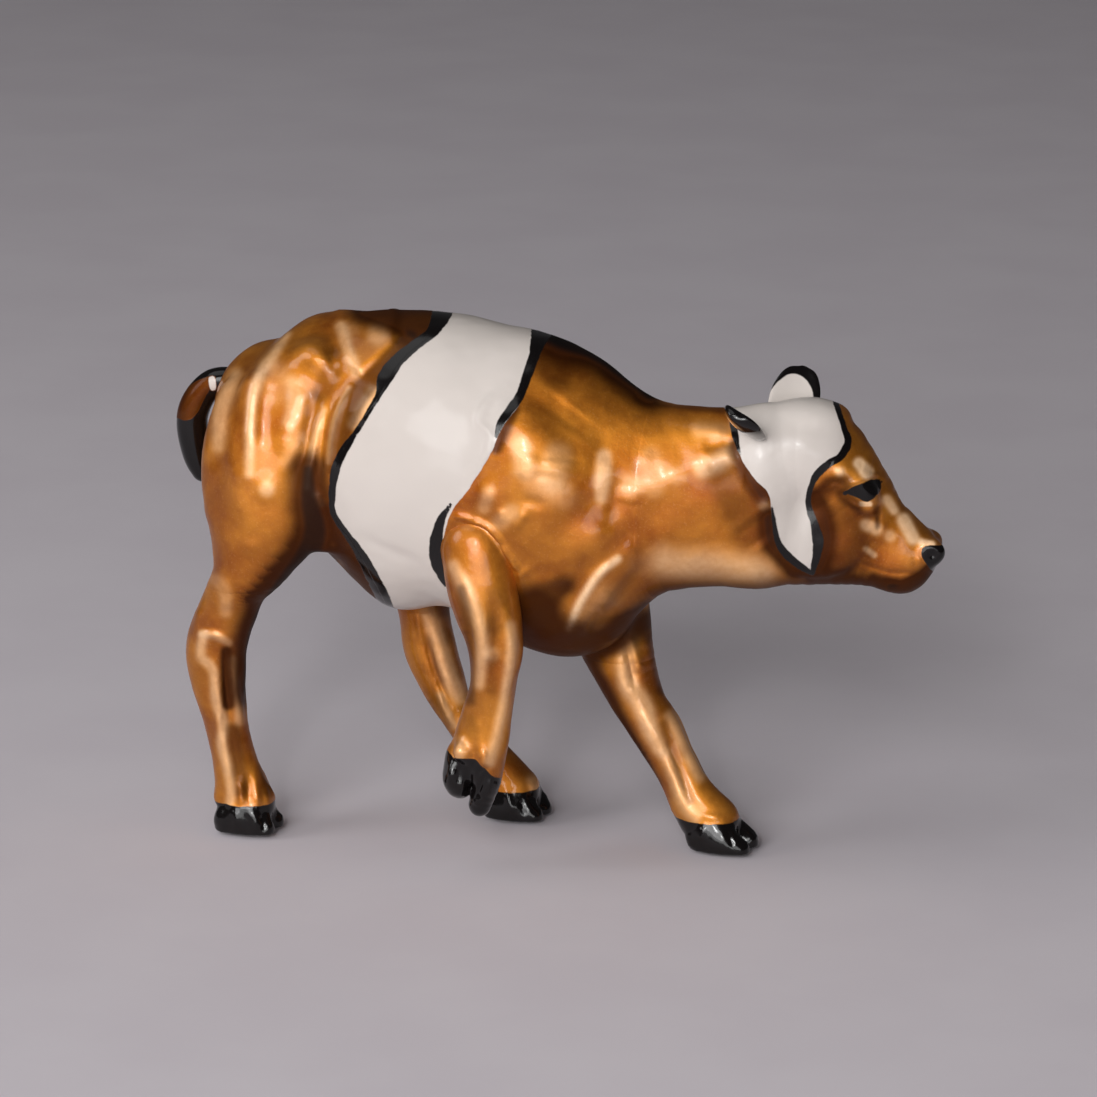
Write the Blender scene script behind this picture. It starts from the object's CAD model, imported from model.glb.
import math

import bpy
import numpy as np
from bpy.props import FloatProperty, FloatVectorProperty, PointerProperty
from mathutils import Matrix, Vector, noise


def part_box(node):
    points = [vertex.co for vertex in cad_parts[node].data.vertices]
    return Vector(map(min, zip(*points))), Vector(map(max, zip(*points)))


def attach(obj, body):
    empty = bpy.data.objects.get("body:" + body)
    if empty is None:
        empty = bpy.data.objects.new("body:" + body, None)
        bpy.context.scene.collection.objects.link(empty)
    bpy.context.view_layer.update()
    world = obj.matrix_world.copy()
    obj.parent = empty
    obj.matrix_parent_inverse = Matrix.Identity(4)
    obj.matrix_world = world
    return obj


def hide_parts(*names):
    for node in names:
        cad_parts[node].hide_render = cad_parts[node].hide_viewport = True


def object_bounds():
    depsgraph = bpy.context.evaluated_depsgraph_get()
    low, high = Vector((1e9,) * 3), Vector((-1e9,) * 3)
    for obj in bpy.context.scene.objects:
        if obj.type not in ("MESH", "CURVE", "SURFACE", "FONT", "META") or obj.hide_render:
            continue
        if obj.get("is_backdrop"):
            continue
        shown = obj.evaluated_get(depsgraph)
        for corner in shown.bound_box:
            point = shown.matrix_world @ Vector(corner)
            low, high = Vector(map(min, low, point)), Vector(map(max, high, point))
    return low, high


bl_info = {
    "name": "Calf figure",
    "version": (1, 0, 0),
    "blender": (4, 5, 0),
    "location": "View3D > Sidebar > Calf",
    "description": "A walking calf, cast in resin and painted in pearl copper, white and black",
    "category": "Object",
}

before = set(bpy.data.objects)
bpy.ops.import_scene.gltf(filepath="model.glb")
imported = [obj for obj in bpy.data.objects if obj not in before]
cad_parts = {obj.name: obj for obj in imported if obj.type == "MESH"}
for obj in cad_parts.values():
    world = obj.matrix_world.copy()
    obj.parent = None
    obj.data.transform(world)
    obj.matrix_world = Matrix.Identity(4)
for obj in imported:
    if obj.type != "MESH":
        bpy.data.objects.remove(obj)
CAD_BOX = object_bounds()
MM = 0.001

# The figure's own directions, in millimetres: X from tail to head, Y to the calf's left, Z up.
# The upper neck pin lies at a known place in them, and the pin's place in the frame gives the shift.
NECK_PIN = np.array((10.5, 0.3, 35.6))
PIN_BOX = [np.array(corner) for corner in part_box("neck_pin_upper")]
SHIFT = (PIN_BOX[0] + PIN_BOX[1]) / 2 / MM - NECK_PIN

# The camera, which is also the eye from which the brush marks and modelling strokes below are placed.
# Those are given in pixels of a square picture, PICTURE pixels each way.
PICTURE = 1097
AZIMUTH = math.radians(20.0)
ELEVATION = math.radians(16.0)
DISTANCE = 450.0
MM_PER_PIXEL = 0.085
TARGET = np.array((0.0, 1.75, 25.9))
TO_EYE = np.array((math.sin(AZIMUTH) * math.cos(ELEVATION), -math.cos(AZIMUTH) * math.cos(ELEVATION),
                   math.sin(ELEVATION)))
EYE_RIGHT = np.array((math.cos(AZIMUTH), math.sin(AZIMUTH), 0.0))
EYE_UP = np.cross(TO_EYE, EYE_RIGHT)
EYE = TARGET + DISTANCE * TO_EYE


def on_picture(points):
    """Where points show on the picture, in pixels from its top left corner."""
    ray = points - EYE
    scale = DISTANCE / MM_PER_PIXEL / -(ray @ TO_EYE)
    return np.stack((PICTURE / 2 + scale * (ray @ EYE_RIGHT), PICTURE / 2 - scale * (ray @ EYE_UP)), axis=1)


# Forms. Each is a function of points in millimetres that gives the distance outside its surface.
FAR = 2.2
TINY = 1e-9


def unit(vectors):
    return vectors / np.maximum(np.linalg.norm(vectors, axis=1)[:, None], TINY)


def spline(rows, steps=4):
    """A smooth curve through rows of numbers, with this many steps from one row to the next."""
    rows = np.array(rows, float)
    curve = []
    for i in range(len(rows) - 1):
        a, b, c, d = rows[max(i - 1, 0)], rows[i], rows[i + 1], rows[min(i + 2, len(rows) - 1)]
        for t in np.arange(steps) / steps:
            curve.append(0.5 * (2 * b + (c - a) * t + (2 * a - 5 * b + 4 * c - d) * t * t
                                + (3 * b - a - 3 * c + d) * t ** 3))
    return np.array(curve + [rows[-1]])


def oval_distance(q, slope, inner):
    """About how far outside an oval points lie, q being 1 on its surface. inner is for its very middle."""
    return np.where(slope > TINY, q * (q - 1) / np.maximum(slope, TINY), -inner)


def boxed(form, low, high):
    """form near its own box, and the plain distance FAR away from it."""
    def cut(points):
        inside = np.all((points > low - FAR) & (points < high + FAR), axis=1)
        d = np.full(len(points), FAR)
        d[inside] = np.minimum(form(points[inside]), FAR)
        return d
    return cut


def limb(rows, side=(0, 1, 0)):
    """A smooth limb through rows of x, y, z, depth and width. side is the direction of the width."""
    curve = spline(rows)
    side = np.array(side, float) / np.linalg.norm(side)

    def form(points):
        nearest = np.full(len(points), FAR)
        for start, end in zip(curve[:-1], curve[1:]):
            axis = end[:3] - start[:3]
            length = axis @ axis
            away = points - start[:3]
            square = np.einsum("ij,ij->i", away, away)
            reach = math.sqrt(length) + max(*start[3:], *end[3:]) / 2 + FAR
            close = np.flatnonzero(square < reach * reach)
            away, square = away[close], square[close]
            along = away @ axis
            t = np.clip(along / length, 0, 1)
            lateral = (away @ side - t * (axis @ side)) ** 2
            planar = np.maximum(square + t * (t * length - 2 * along) - lateral, 0)
            a = (start[3] + (end[3] - start[3]) * t) / 2
            b = (start[4] + (end[4] - start[4]) * t) / 2
            planar, lateral = planar / (a * a), lateral / (b * b)
            q = np.sqrt(planar + lateral)
            slope = np.sqrt(planar / (a * a) + lateral / (b * b))
            nearest[close] = np.minimum(nearest[close], oval_distance(q, slope, np.minimum(a, b)))
        return nearest

    radius = curve[:, 3:].max() / 2
    return boxed(form, curve[:, :3].min(0) - radius, curve[:, :3].max(0) + radius)


def loft(rows, tail_cap, head_cap):
    """Oval sections across X through rows of x, y, top, bottom and width, with rounded ends."""
    curve = spline(rows)

    def form(points):
        x = np.clip(points[:, 0], curve[0, 0], curve[-1, 0])
        middle, top, bottom, width = (np.interp(x, curve[:, 0], curve[:, k]) for k in range(1, 5))
        a, b = (top - bottom) / 2, width / 2
        cap = np.where(points[:, 0] < curve[0, 0], tail_cap, head_cap)
        u = (points[:, 0] - x) / cap
        v = (points[:, 1] - middle) / b
        w = (points[:, 2] - (top + bottom) / 2) / a
        q = np.sqrt(u * u + v * v + w * w)
        slope = np.sqrt((u / cap) ** 2 + (v / b) ** 2 + (w / a) ** 2)
        return oval_distance(q, slope, b)
    return form


def turned(yaw, pitch, roll):
    """The directions of something turned about X, then Y, then Z, by these angles in degrees."""
    (cy, cp, cr), (sy, sp, sr) = (f(np.radians((yaw, pitch, roll))) for f in (np.cos, np.sin))
    about_z = np.array(((cy, -sy, 0), (sy, cy, 0), (0, 0, 1)))
    about_y = np.array(((cp, 0, sp), (0, 1, 0), (-sp, 0, cp)))
    about_x = np.array(((1, 0, 0), (0, cr, -sr), (0, sr, cr)))
    return about_z @ about_y @ about_x


def lump(centre, size, turn=(0, 0, 0)):
    """An egg shape: centre, three diameters, and its turn about Z, Y and X in degrees."""
    radius = np.array(size) / 2
    axes = turned(*turn)

    def form(points):
        local = (points - centre) @ axes / radius
        q = np.sqrt((local ** 2).sum(1))
        slope = np.sqrt(((local / radius) ** 2).sum(1))
        return oval_distance(q, slope, radius.min())
    return boxed(form, np.array(centre) - radius.max(), np.array(centre) + radius.max())


def smooth_min(a, b, k):
    h = np.maximum(k - np.abs(a - b), 0) / k
    return np.minimum(a, b) - h * h * k / 4


def blend(k, *forms):
    """Forms joined with soft fillets about k millimetres wide."""
    def form(points):
        d = forms[0](points)
        for other in forms[1:]:
            d = smooth_min(d, other(points), k)
        return d
    return form


def join(*forms):
    return lambda points: np.min([form(points) for form in forms], axis=0)


def carve(k, form, tool):
    """form with tool taken out of it, with a soft edge."""
    return lambda points: -smooth_min(-form(points), tool(points), k)


def both_sides(form):
    return lambda points: np.minimum(form(points), form(points * (1, -1, 1)))


# Trunk and neck, and the muscles and bones that show through the hide
SPINE = loft([
    (-24.0, 0.0, 42.5, 30.0, 11.2), (-20.5, 0.0, 45.1, 26.4, 14.4), (-16.5, 0.0, 45.4, 22.6, 16.4),
    (-12.5, 0.0, 46.0, 19.9, 18.2), (-8.0, 0.0, 46.0, 20.8, 19.0), (-3.5, 0.0, 45.4, 19.0, 18.6),
    (0.5, 0.0, 44.9, 17.8, 17.6), (4.5, 0.0, 43.4, 18.2, 15.4), (8.0, 0.1, 41.1, 20.8, 12.4),
    (11.5, 0.4, 39.8, 23.8, 10.4), (18.5, 1.9, 39.7, 24.5, 8.6),
], 5.5, 4.0)
HAUNCH = [
    limb([(-26.2, -4.6, 38.6, 2.0, 1.8), (-26.8, -6.4, 34.0, 2.4, 2.0), (-26.4, -7.4, 29.4, 2.0, 1.8)]),
    limb([(-23.4, -6.4, 40.0, 2.2, 2.0), (-23.2, -7.8, 35.4, 3.0, 2.6), (-23.4, -8.4, 31.0, 2.6, 2.4)]),
    limb([(-19.6, -7.4, 35.8, 2.2, 2.0), (-18.2, -7.6, 31.4, 2.0, 1.8), (-17.2, -6.6, 27.0, 1.8, 1.6)]),
    limb([(-21.4, 7.2, 36.0, 2.4, 2.2), (-19.6, 8.0, 31.8, 2.4, 2.2), (-17.2, 8.2, 28.0, 2.2, 2.0)]),
]
PAIRS = [both_sides(form) for form in (
    lump((-17.6, -5.2, 42.6), (4.6, 2.8, 2.4), (0, 16, 0)),
    lump((0.6, -6.4, 34.0), (9.4, 5.4, 13.6), (0, -18, 0)),
    lump((5.6, -5.2, 28.6), (6.0, 4.6, 7.0), (0, 20, 0)),
    limb([(4.2, -4.4, 21.6, 2.0, 1.8), (6.6, -5.2, 24.6, 2.2, 2.0), (9.2, -4.6, 28.2, 1.8, 1.8)]),
)]
BRISKET = lump((2.6, 0, 20.6), (10.0, 9.0, 6.0))
LOIN_HOLLOW = both_sides(lump((-14.4, -9.6, 38.6), (4.6, 2.2, 7.0), (0, -20, 0)))
TRUNK = carve(1.4, blend(1.4, SPINE, BRISKET, *HAUNCH, *PAIRS), LOIN_HOLLOW)

# Head, in its own directions: forward from the poll, to its left, and up
HEAD_TURN = 20.0
HEAD_FORWARD = np.array((math.cos(math.radians(HEAD_TURN)), math.sin(math.radians(HEAD_TURN)), 0.0))
HEAD_LEFT = np.array((-HEAD_FORWARD[1], HEAD_FORWARD[0], 0.0))
HEAD_PLACE = np.array((19.0, 2.0, 0.0))


def at_head(forward, left, up, *sizes):
    return (*(HEAD_PLACE + forward * HEAD_FORWARD + left * HEAD_LEFT + (0, 0, up)), *sizes)


SKULL = limb([
    at_head(1.5, 0, 35.6, 9.0, 7.2), at_head(4.0, 0, 35.6, 9.0, 7.6), at_head(6.6, 0, 32.4, 8.2, 6.7),
    at_head(9.4, 0, 29.7, 5.8, 5.0), at_head(12.1, 0, 27.4, 5.2, 5.0),
], HEAD_LEFT)
JAW = limb([
    at_head(0, 0, 29.2, 8.6, 7.2), at_head(4, 0, 28.4, 7.4, 6.4), at_head(8, 0, 27.2, 5.0, 4.8),
    at_head(11.5, 0, 26.1, 3.9, 4.0),
], HEAD_LEFT)
FEATURES = [
    lump(at_head(4.2, 0, 39.2), (5.6, 4.8, 2.4), (HEAD_TURN, 0, 0)),
    lump(at_head(11.4, 0, 25.5), (3.8, 3.2, 2.6), (HEAD_TURN, 0, 0)),
]
for sign in (-1, 1):
    FEATURES += [
        lump(at_head(7.4, sign * 2.9, 34.5), (3.4, 1.6, 1.6), (HEAD_TURN, 40, 0)),
        lump(at_head(8.3, sign * 2.7, 32.6), (2.2, 1.6, 2.0)),
        lump(at_head(4.8, sign * 2.4, 29.2), (6.4, 2.4, 6.0), (HEAD_TURN, 0, 0)),
        lump(at_head(14.0, sign * 1.5, 27.8), (2.2, 1.9, 2.0)),
    ]
HEAD = blend(0.9, blend(1.5, SKULL, JAW), *FEATURES)

# Legs
RIGHT_HIND_LEG = limb([
    (-20.3, -3.4, 37.4, 11.2, 8.0), (-21.8, -4.8, 33.4, 13.0, 8.6), (-22.7, -5.8, 29.2, 10.4, 8.2),
    (-23.9, -6.4, 24.8, 6.5, 6.4), (-25.0, -6.45, 22.7, 5.0, 5.6), (-25.9, -6.5, 20.7, 5.1, 5.0),
    (-27.3, -6.4, 17.0, 5.4, 4.4), (-27.4, -6.2, 14.0, 5.1, 3.9), (-26.9, -6.05, 10.4, 3.9, 3.5),
    (-26.2, -5.85, 7.0, 3.9, 3.5), (-25.6, -5.7, 4.2, 4.6, 3.9), (-25.1, -5.65, 2.6, 5.0, 4.3),
])
LEFT_HIND_LEG = limb([
    (-19.5, 3.4, 37.0, 11.2, 8.0), (-18.4, 4.8, 32.6, 13.0, 8.6), (-15.8, 5.7, 27.4, 9.6, 8.2),
    (-13.7, 6.0, 22.4, 5.8, 6.0), (-13.0, 5.8, 17.8, 4.4, 4.8), (-12.4, 5.7, 14.6, 4.8, 4.2),
    (-11.3, 5.65, 11.8, 4.2, 3.8), (-9.9, 5.65, 9.0, 3.2, 3.5), (-7.4, 5.65, 6.0, 3.6, 3.5),
    (-5.8, 5.65, 3.9, 4.4, 3.9), (-4.9, 5.65, 2.6, 5.0, 4.3),
])
LEFT_FORELEG = limb([
    (0.5, 4.0, 33.0, 12.0, 6.4), (2.0, 4.6, 26.0, 10.4, 6.8), (4.2, 4.8, 20.0, 7.6, 6.0),
    (5.5, 4.5, 16.2, 6.0, 5.4), (7.15, 4.3, 12.6, 4.7, 4.6), (8.9, 4.1, 10.0, 4.4, 4.3),
    (10.75, 3.9, 7.0, 3.8, 3.5), (12.6, 3.7, 4.2, 4.4, 3.9), (14.0, 3.6, 2.6, 5.2, 4.3),
])
RIGHT_FORELEG = limb([
    (-3.0, -7.6, 28.2, 6.2, 5.6), (-2.2, -8.2, 24.6, 6.0, 5.4), (-1.1, -8.3, 20.4, 4.9, 4.6),
    (-1.25, -8.2, 17.0, 4.0, 4.0), (-1.7, -8.1, 14.8, 4.15, 3.6), (-2.4, -8.0, 11.8, 4.8, 3.7),
    (-2.7, -8.0, 10.4, 4.7, 3.9),
])
CLAW_LENGTH, CLAW_WIDTH, CLAW_HEIGHT, CLEFT = 5.4, 2.3, 2.7, 0.3


def foot(sole, toe, up, lead=0, closing=0.8):
    """Two claws side by side with dewclaws behind. toe and up are the foot's own directions. In a foot that
    hangs one claw leads the other and their tips close together."""
    toe = np.array(toe, float) / np.linalg.norm(toe)
    across = np.cross(up, toe)
    across /= np.linalg.norm(across)
    upward = np.cross(toe, across)

    def at(forward, side, height, *sizes):
        return (*(np.array(sole) + forward * toe + side * across + height * upward), *sizes)

    parts = []
    for side in (-1, 1):
        middle = side * (CLAW_WIDTH + CLEFT) / 2
        tip = CLAW_LENGTH * 0.27 + side * lead
        parts.append(limb([
            at(-CLAW_LENGTH * 0.26, middle, CLAW_HEIGHT * 0.42, CLAW_HEIGHT * 1.1, CLAW_WIDTH),
            at(0, middle, CLAW_HEIGHT * 0.42, CLAW_HEIGHT * 1.2, CLAW_WIDTH),
            at(tip, middle * closing, CLAW_HEIGHT * 0.24, CLAW_HEIGHT * 0.8, CLAW_WIDTH * 0.85),
        ], across))
        parts.append(lump(at(-CLAW_LENGTH * 0.4, side * CLAW_WIDTH * 0.42, CLAW_HEIGHT * 1.2),
                          (1.3, 1.2, 1.5)))
    return join(*parts)


RIGHT_HIND = blend(0.8, RIGHT_HIND_LEG, foot((-24.7, -5.65, 0), (1, 0.02, 0), (0, 0, 1)))
LEFT_HIND = blend(0.8, LEFT_HIND_LEG, foot((-4.1, 5.65, 0), (1, -0.02, 0), (0, 0, 1)))
LEFT_FORE = blend(0.8, LEFT_FORELEG, foot((15.5, 3.55, 0), (1, -0.05, 0), (0, 0, 1)))
RIGHT_FORE = blend(0.8, RIGHT_FORELEG,
                   foot((-3.6, -7.25, 7.8), (0.03, -0.31, -0.95), (0.33, -0.9, 0.28), 0.7, 0.65))


# Heights at which the standing feet are flat, and of the hooves' upper edge
SOLE, CORONET = 0.4, 2.95


def trunk_with_legs(points):
    trunk = TRUNK(points)
    return np.min([smooth_min(trunk, leg(points), 1.6) for leg in (RIGHT_HIND, LEFT_HIND, LEFT_FORE)], axis=0)


NECK_AND_HEAD = blend(1.8, TRUNK, HEAD)

# Ears, cupped leaves on the two sides of the poll: rows of x, y, z, thickness and width
LEFT_EAR = [
    at_head(1.9, 2.2, 37.5, 1.3, 3.2), at_head(2.2, 2.6, 38.4, 1.1, 3.9), at_head(2.7, 3.4, 39.8, 1.0, 4.2),
    at_head(3.1, 4.2, 41.0, 0.9, 3.5), at_head(3.4, 4.8, 41.8, 0.8, 2.2), at_head(3.5, 5.0, 42.15, 0.5, 0.5),
]
RIGHT_EAR = [
    at_head(-0.3, -2.0, 37.6, 0.9, 1.2), at_head(-0.7, -2.6, 38.1, 0.8, 1.7),
    at_head(-1.4, -4.0, 39.0, 1.0, 3.0),
    at_head(-2.2, -5.6, 40.1, 1.2, 3.6), at_head(-2.7, -6.6, 40.9, 1.0, 2.4),
    at_head(-2.8, -6.9, 41.15, 0.4, 0.5),
]

# Where one casting ends and the next begins. Past its seam a casting shrinks away under its neighbour.
NECK_SEAM, RIGHT_HIND_SEAM, LEFT_HIND_SEAM, LEFT_FORE_SEAM = 10.5, 23.0, 18.9, 16.8
OVERLAP = 1.0
FAR_SIDE_FROM = 2.5


def ended(form, past):
    """form, ended where past, the distance beyond the seam, reaches the overlap."""
    def cut(points):
        beyond = past(points)
        under = form(points) + 0.2 * np.maximum(beyond - 0.2, 0) ** 2
        return -smooth_min(-under, OVERLAP - beyond, 0.3)
    return cut


def head_past(points):
    return NECK_SEAM - points[:, 0]


def torso_past(points):
    """How far points lie beyond the nearest of the torso's seams with the neck and three legs."""
    x, y, z = points.T
    right_hind = np.where((x < -20.5) & (y < 0), RIGHT_HIND_SEAM - z, -FAR)
    left_hind = np.where((x < -1) & (y > FAR_SIDE_FROM), LEFT_HIND_SEAM - z, -FAR)
    return np.max((right_hind, left_hind, LEFT_FORE_SEAM - z, x - NECK_SEAM), axis=0)


def above(seam):
    return lambda points: points[:, 2] - seam


def grounded(form):
    return lambda points: np.maximum(form(points), SOLE - points[:, 2])


# Turning a form into a mesh
CORNERS = np.array([(i, j, k) for i in (0, 1) for j in (0, 1) for k in (0, 1)])
COARSE = 4
BATCH = 200000
# The size of the head's and the legs' faces, as a share of the torso's
FINER = 0.6


def slope_at(form, points, step=0.01):
    """form at points, and its slope there."""
    here = form(points)
    return here, np.stack([(form(points + move) - here) / step for move in np.eye(3) * step], 1)


def skin(form, low, high, cell):
    """Vertices, their normals and the quads of a form's surface over a grid, sampled closely only near it."""
    low = np.array(low, float)
    blocks = np.ceil((np.array(high) - low) / (cell * COARSE)).astype(int)
    axes = [low[k] + cell * COARSE * np.arange(blocks[k] + 1) for k in range(3)]
    coarse = form(np.stack(np.meshgrid(*axes, indexing="ij"), -1).reshape(-1, 3)).reshape(blocks + 1)
    close = np.abs(coarse) < cell * COARSE * 0.9 + 0.4
    block_close = np.zeros(blocks, bool)
    for corner in CORNERS:
        block_close |= close[tuple(slice(c, c + n) for c, n in zip(corner, blocks))]
    size = blocks * COARSE
    values = np.where(coarse[:-1, :-1, :-1] < 0, -1.0, 1.0)
    for axis in range(3):
        block_close = np.repeat(block_close, COARSE, axis)
        values = np.repeat(values, COARSE, axis)
    places = np.argwhere(block_close)
    for start in range(0, len(places), BATCH):
        part = places[start:start + BATCH]
        values[tuple(part.T)] = form(low + cell * part)
    inside = values < 0
    count = np.zeros(size - 1, int)
    for corner in CORNERS:
        count += inside[tuple(slice(c, c + n - 1) for c, n in zip(corner, size))]
    crossed = (count > 0) & (count < 8)
    cells = np.argwhere(crossed)
    number = np.full(crossed.shape, -1)
    number[crossed] = np.arange(len(cells))
    corner_values = [values[tuple((cells + corner).T)] for corner in CORNERS]
    total, crossings = np.zeros((len(cells), 3)), np.zeros(len(cells))
    for a, corner in enumerate(CORNERS):
        for axis in range(3):
            if corner[axis]:
                continue
            b = a + (4, 2, 1)[axis]
            cross = (corner_values[a] < 0) != (corner_values[b] < 0)
            t = corner_values[a][cross] / (corner_values[a][cross] - corner_values[b][cross])
            total[cross] += corner + t[:, None] * np.eye(3)[axis]
            crossings[cross] += 1
    points = low + cell * (cells + total / crossings[:, None])
    quads = []
    for axis in range(3):
        u, v = (axis + 1) % 3, (axis + 2) % 3
        here = [slice(1, -1)] * 3
        there = [slice(1, -1)] * 3
        here[axis], there[axis] = slice(0, -1), slice(1, None)
        changes = inside[tuple(here)] != inside[tuple(there)]
        edges = np.argwhere(changes)
        leaving = inside[tuple(here)][changes]
        edges[:, [u, v]] += 1
        ring = []
        for du, dv in ((1, 1), (0, 1), (0, 0), (1, 0)):
            corner = edges.copy()
            corner[:, u] -= du
            corner[:, v] -= dv
            ring.append(number[tuple(corner.T)])
        ring = np.stack(ring, 1)
        ring[~leaving] = ring[~leaving, ::-1]
        quads.append(ring)
    for _ in range(2):
        outside, slope = slope_at(form, points)
        square = np.maximum((slope ** 2).sum(1), 0.05)
        step = (outside / square)[:, None] * slope
        length = np.linalg.norm(step, axis=1)[:, None]
        points = points - step * np.minimum(1, 0.6 * cell / np.maximum(length, TINY))
    return points, unit(slope_at(form, points)[1]), np.concatenate(quads)


def normals_of(points, quads):
    """Each point's normal, from the quads round it."""
    a, b, c, d = (points[quads[:, k]] for k in range(4))
    total = np.zeros_like(points)
    for k in range(4):
        np.add.at(total, quads[:, k], np.cross(c - a, d - b))
    return unit(total)


def leaf(rows, side, cup, around=40, steps=12):
    """A closed leaf through rows of x, y, z, thickness and width. Its edges stand forward by cup times half
    its width, and side is the direction of the width."""
    curve = spline(rows, steps)
    centre, thick, wide = curve[:, :3], curve[:, 3:4] / 2, curve[:, 4:] / 2
    along = unit(np.gradient(centre, axis=0))
    sideways = unit(side - (along @ side)[:, None] * along)
    front = np.cross(along, sideways)
    turn = (np.arange(around) + 0.5) * 2 * math.pi / around
    points = (centre[:, None] + np.cos(turn)[None, :, None] * (wide * sideways)[:, None]
              + (cup * wide * np.cos(turn) ** 2 + thick * np.sin(turn))[:, :, None] * front[:, None])
    ring, level = np.meshgrid(np.arange(around), np.arange(len(curve) - 1) * around)
    after = (ring + 1) % around
    quads = np.stack((level + ring, level + after, level + after + around, level + ring + around),
                     -1).reshape(-1, 4)
    half = np.arange(around // 2 - 1)
    cap = np.stack((half, half + 1, around - 2 - half, around - 1 - half), 1)
    quads = np.concatenate((quads, cap[:, ::-1], cap + (len(curve) - 1) * around))
    points = points.reshape(-1, 3)
    return points, normals_of(points, quads), quads


# Strokes and fields on the picture. A row of a stroke is x, y and width, in pixels.
REACH = 60.0


def near(pixels, curve):
    """Which pixels lie within reach of a curve's box."""
    margin = REACH + curve[:, 2:].max(initial=0) / 2
    return np.all((pixels > curve[:, :2].min(0) - margin) & (pixels < curve[:, :2].max(0) + margin), axis=1)


def stroke_distance(pixels, rows, steps=4):
    """How far pixels lie outside a stroke's edge, in pixels, up to REACH."""
    curve = spline(rows, steps) if len(rows) > 2 else np.array([*rows, rows[-1]], float)
    close = near(pixels, curve)
    here = pixels[close]
    d = np.full(len(here), REACH)
    for start, end in zip(curve[:-1], curve[1:]):
        axis = end[:2] - start[:2]
        away = here - start[:2]
        t = np.clip(away @ axis / max(axis @ axis, TINY), 0, 1)
        width = start[2] + (end[2] - start[2]) * t
        d = np.minimum(d, np.hypot(*(away - t[:, None] * axis).T) - width / 2)
    distance = np.full(len(pixels), REACH)
    distance[close] = d
    return distance


def field_distance(pixels, outline, steps=4):
    """How far pixels lie outside a closed outline, in pixels, negative inside."""
    rows = [*outline[-1:], *outline, *outline[:2]]
    ring = spline(rows, steps)[steps:-steps] if steps > 1 else np.array(rows[1:-1], float)
    close = near(pixels, ring)
    px, py = pixels[close].T
    d = np.full(len(px), REACH)
    inside = np.zeros(len(px), bool)
    for (ax, ay), (bx, by) in zip(ring[:-1], ring[1:]):
        ex, ey = bx - ax, by - ay
        t = np.clip(((px - ax) * ex + (py - ay) * ey) / max(ex * ex + ey * ey, TINY), 0, 1)
        d = np.minimum(d, np.hypot(px - ax - t * ex, py - ay - t * ey))
        if ay != by:
            inside ^= ((ay > py) != (by > py)) & (px < ax + (py - ay) * ex / ey)
    distance = np.full(len(pixels), REACH)
    distance[close] = np.where(inside, -d, d)
    return distance


def soft_step(low, high, x):
    t = np.clip((x - low) / (high - low), 0, 1)
    return t * t * (3 - 2 * t)


def facing(normals):
    """1 where a surface faces the eye, fading to 0 where it turns away."""
    return soft_step(0.0, 0.3, normals @ TO_EYE)


# Where each casting is mirrored, as a place and a direction, so that its far side has the near one's marks
TORSO_MIRROR = ((0, FAR_SIDE_FROM, 0), (0, 1, 0))
LEG_MIDDLES = {"right_hind_leg": (0, -5.6, 0), "left_hind_leg": (0, 6.3, 0), "left_foreleg": (0, 4.6, 0),
               "right_foreleg": (0, -7.4, 0)}
HEAD_MIRROR = (tuple(HEAD_PLACE + 0.6 * HEAD_LEFT), tuple(HEAD_LEFT))

# White fields
BELT = [(441, 262), (438, 290), (440, 312), (439, 330), (417, 348), (398, 367), (380, 398), (367, 416),
        (346, 448), (336, 474), (333, 500), (338, 521), (354, 542), (367, 565), (385, 599), (400, 625),
        (446, 625), (452, 600), (444, 579), (440, 560), (444, 530), (452, 508), (464, 493), (482, 466),
        (492, 448), (500, 427), (518, 404), (525, 381), (534, 356), (536, 329), (534, 300), (534, 262)]
FACE_PATCH = [(739, 443), (743, 456), (751, 470), (760, 481), (769, 490), (773, 500), (775, 518), (781, 541),
              (789, 554), (809, 570), (811, 560), (812, 541), (811, 520), (807, 503), (811, 480), (820, 465),
              (838, 454), (845, 442), (840, 428), (837, 412), (833, 395), (800, 380), (760, 385), (738, 390),
              (734, 404), (738, 424)]

# Black lines and fields: x, y and width
BELT_LINES = [
    [(449, 272, 24), (445, 300, 22), (440, 318, 18), (431, 333, 11), (414, 346, 11), (396, 362, 13),
     (385, 378, 16), (379, 394, 7), (368, 413, 5), (357, 431, 5), (346, 447, 8), (336, 468, 9), (332, 495, 7),
     (334, 515, 6), (345, 532, 7), (357, 549, 9), (368, 568, 12), (382, 596, 13), (394, 622, 11)],
    [(552, 286, 34), (546, 316, 30), (540, 336, 18), (534, 356, 11), (527, 376, 10), (520, 396, 9),
     (509, 411, 9), (500, 425, 7), (496, 437, 3)],
    [(451, 504, 3), (443, 516, 7), (438, 530, 11), (436, 548, 14), (438, 566, 12), (446, 584, 6)],
]
FACE_LINES = [
    [(730, 408, 6), (733, 420, 8), (735, 434, 7), (738, 447, 4), (741, 455, 1)],
    [(772, 508, 2), (774, 522, 4), (778, 542, 6), (788, 556, 8), (800, 566, 7), (812, 573, 5)],
    [(812, 573, 5), (816, 558, 8), (818, 541, 11), (814, 523, 8), (808, 503, 6), (812, 484, 6), (820, 471, 8),
     (830, 463, 7), (841, 456, 8), (848, 442, 8), (844, 428, 6), (839, 412, 6), (834, 398, 5)],
    [(882, 482, 2), (872, 481, 3), (858, 487, 4), (845, 493, 4)],
]
EYE_MARK = [(845, 492), (856, 486), (870, 481), (880, 479), (881, 489), (875, 497), (867, 502), (857, 498)]
NOSTRIL = [(922, 548), (930, 545), (943, 545), (953, 546), (953, 560), (940, 574), (928, 567), (922, 557)]

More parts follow.
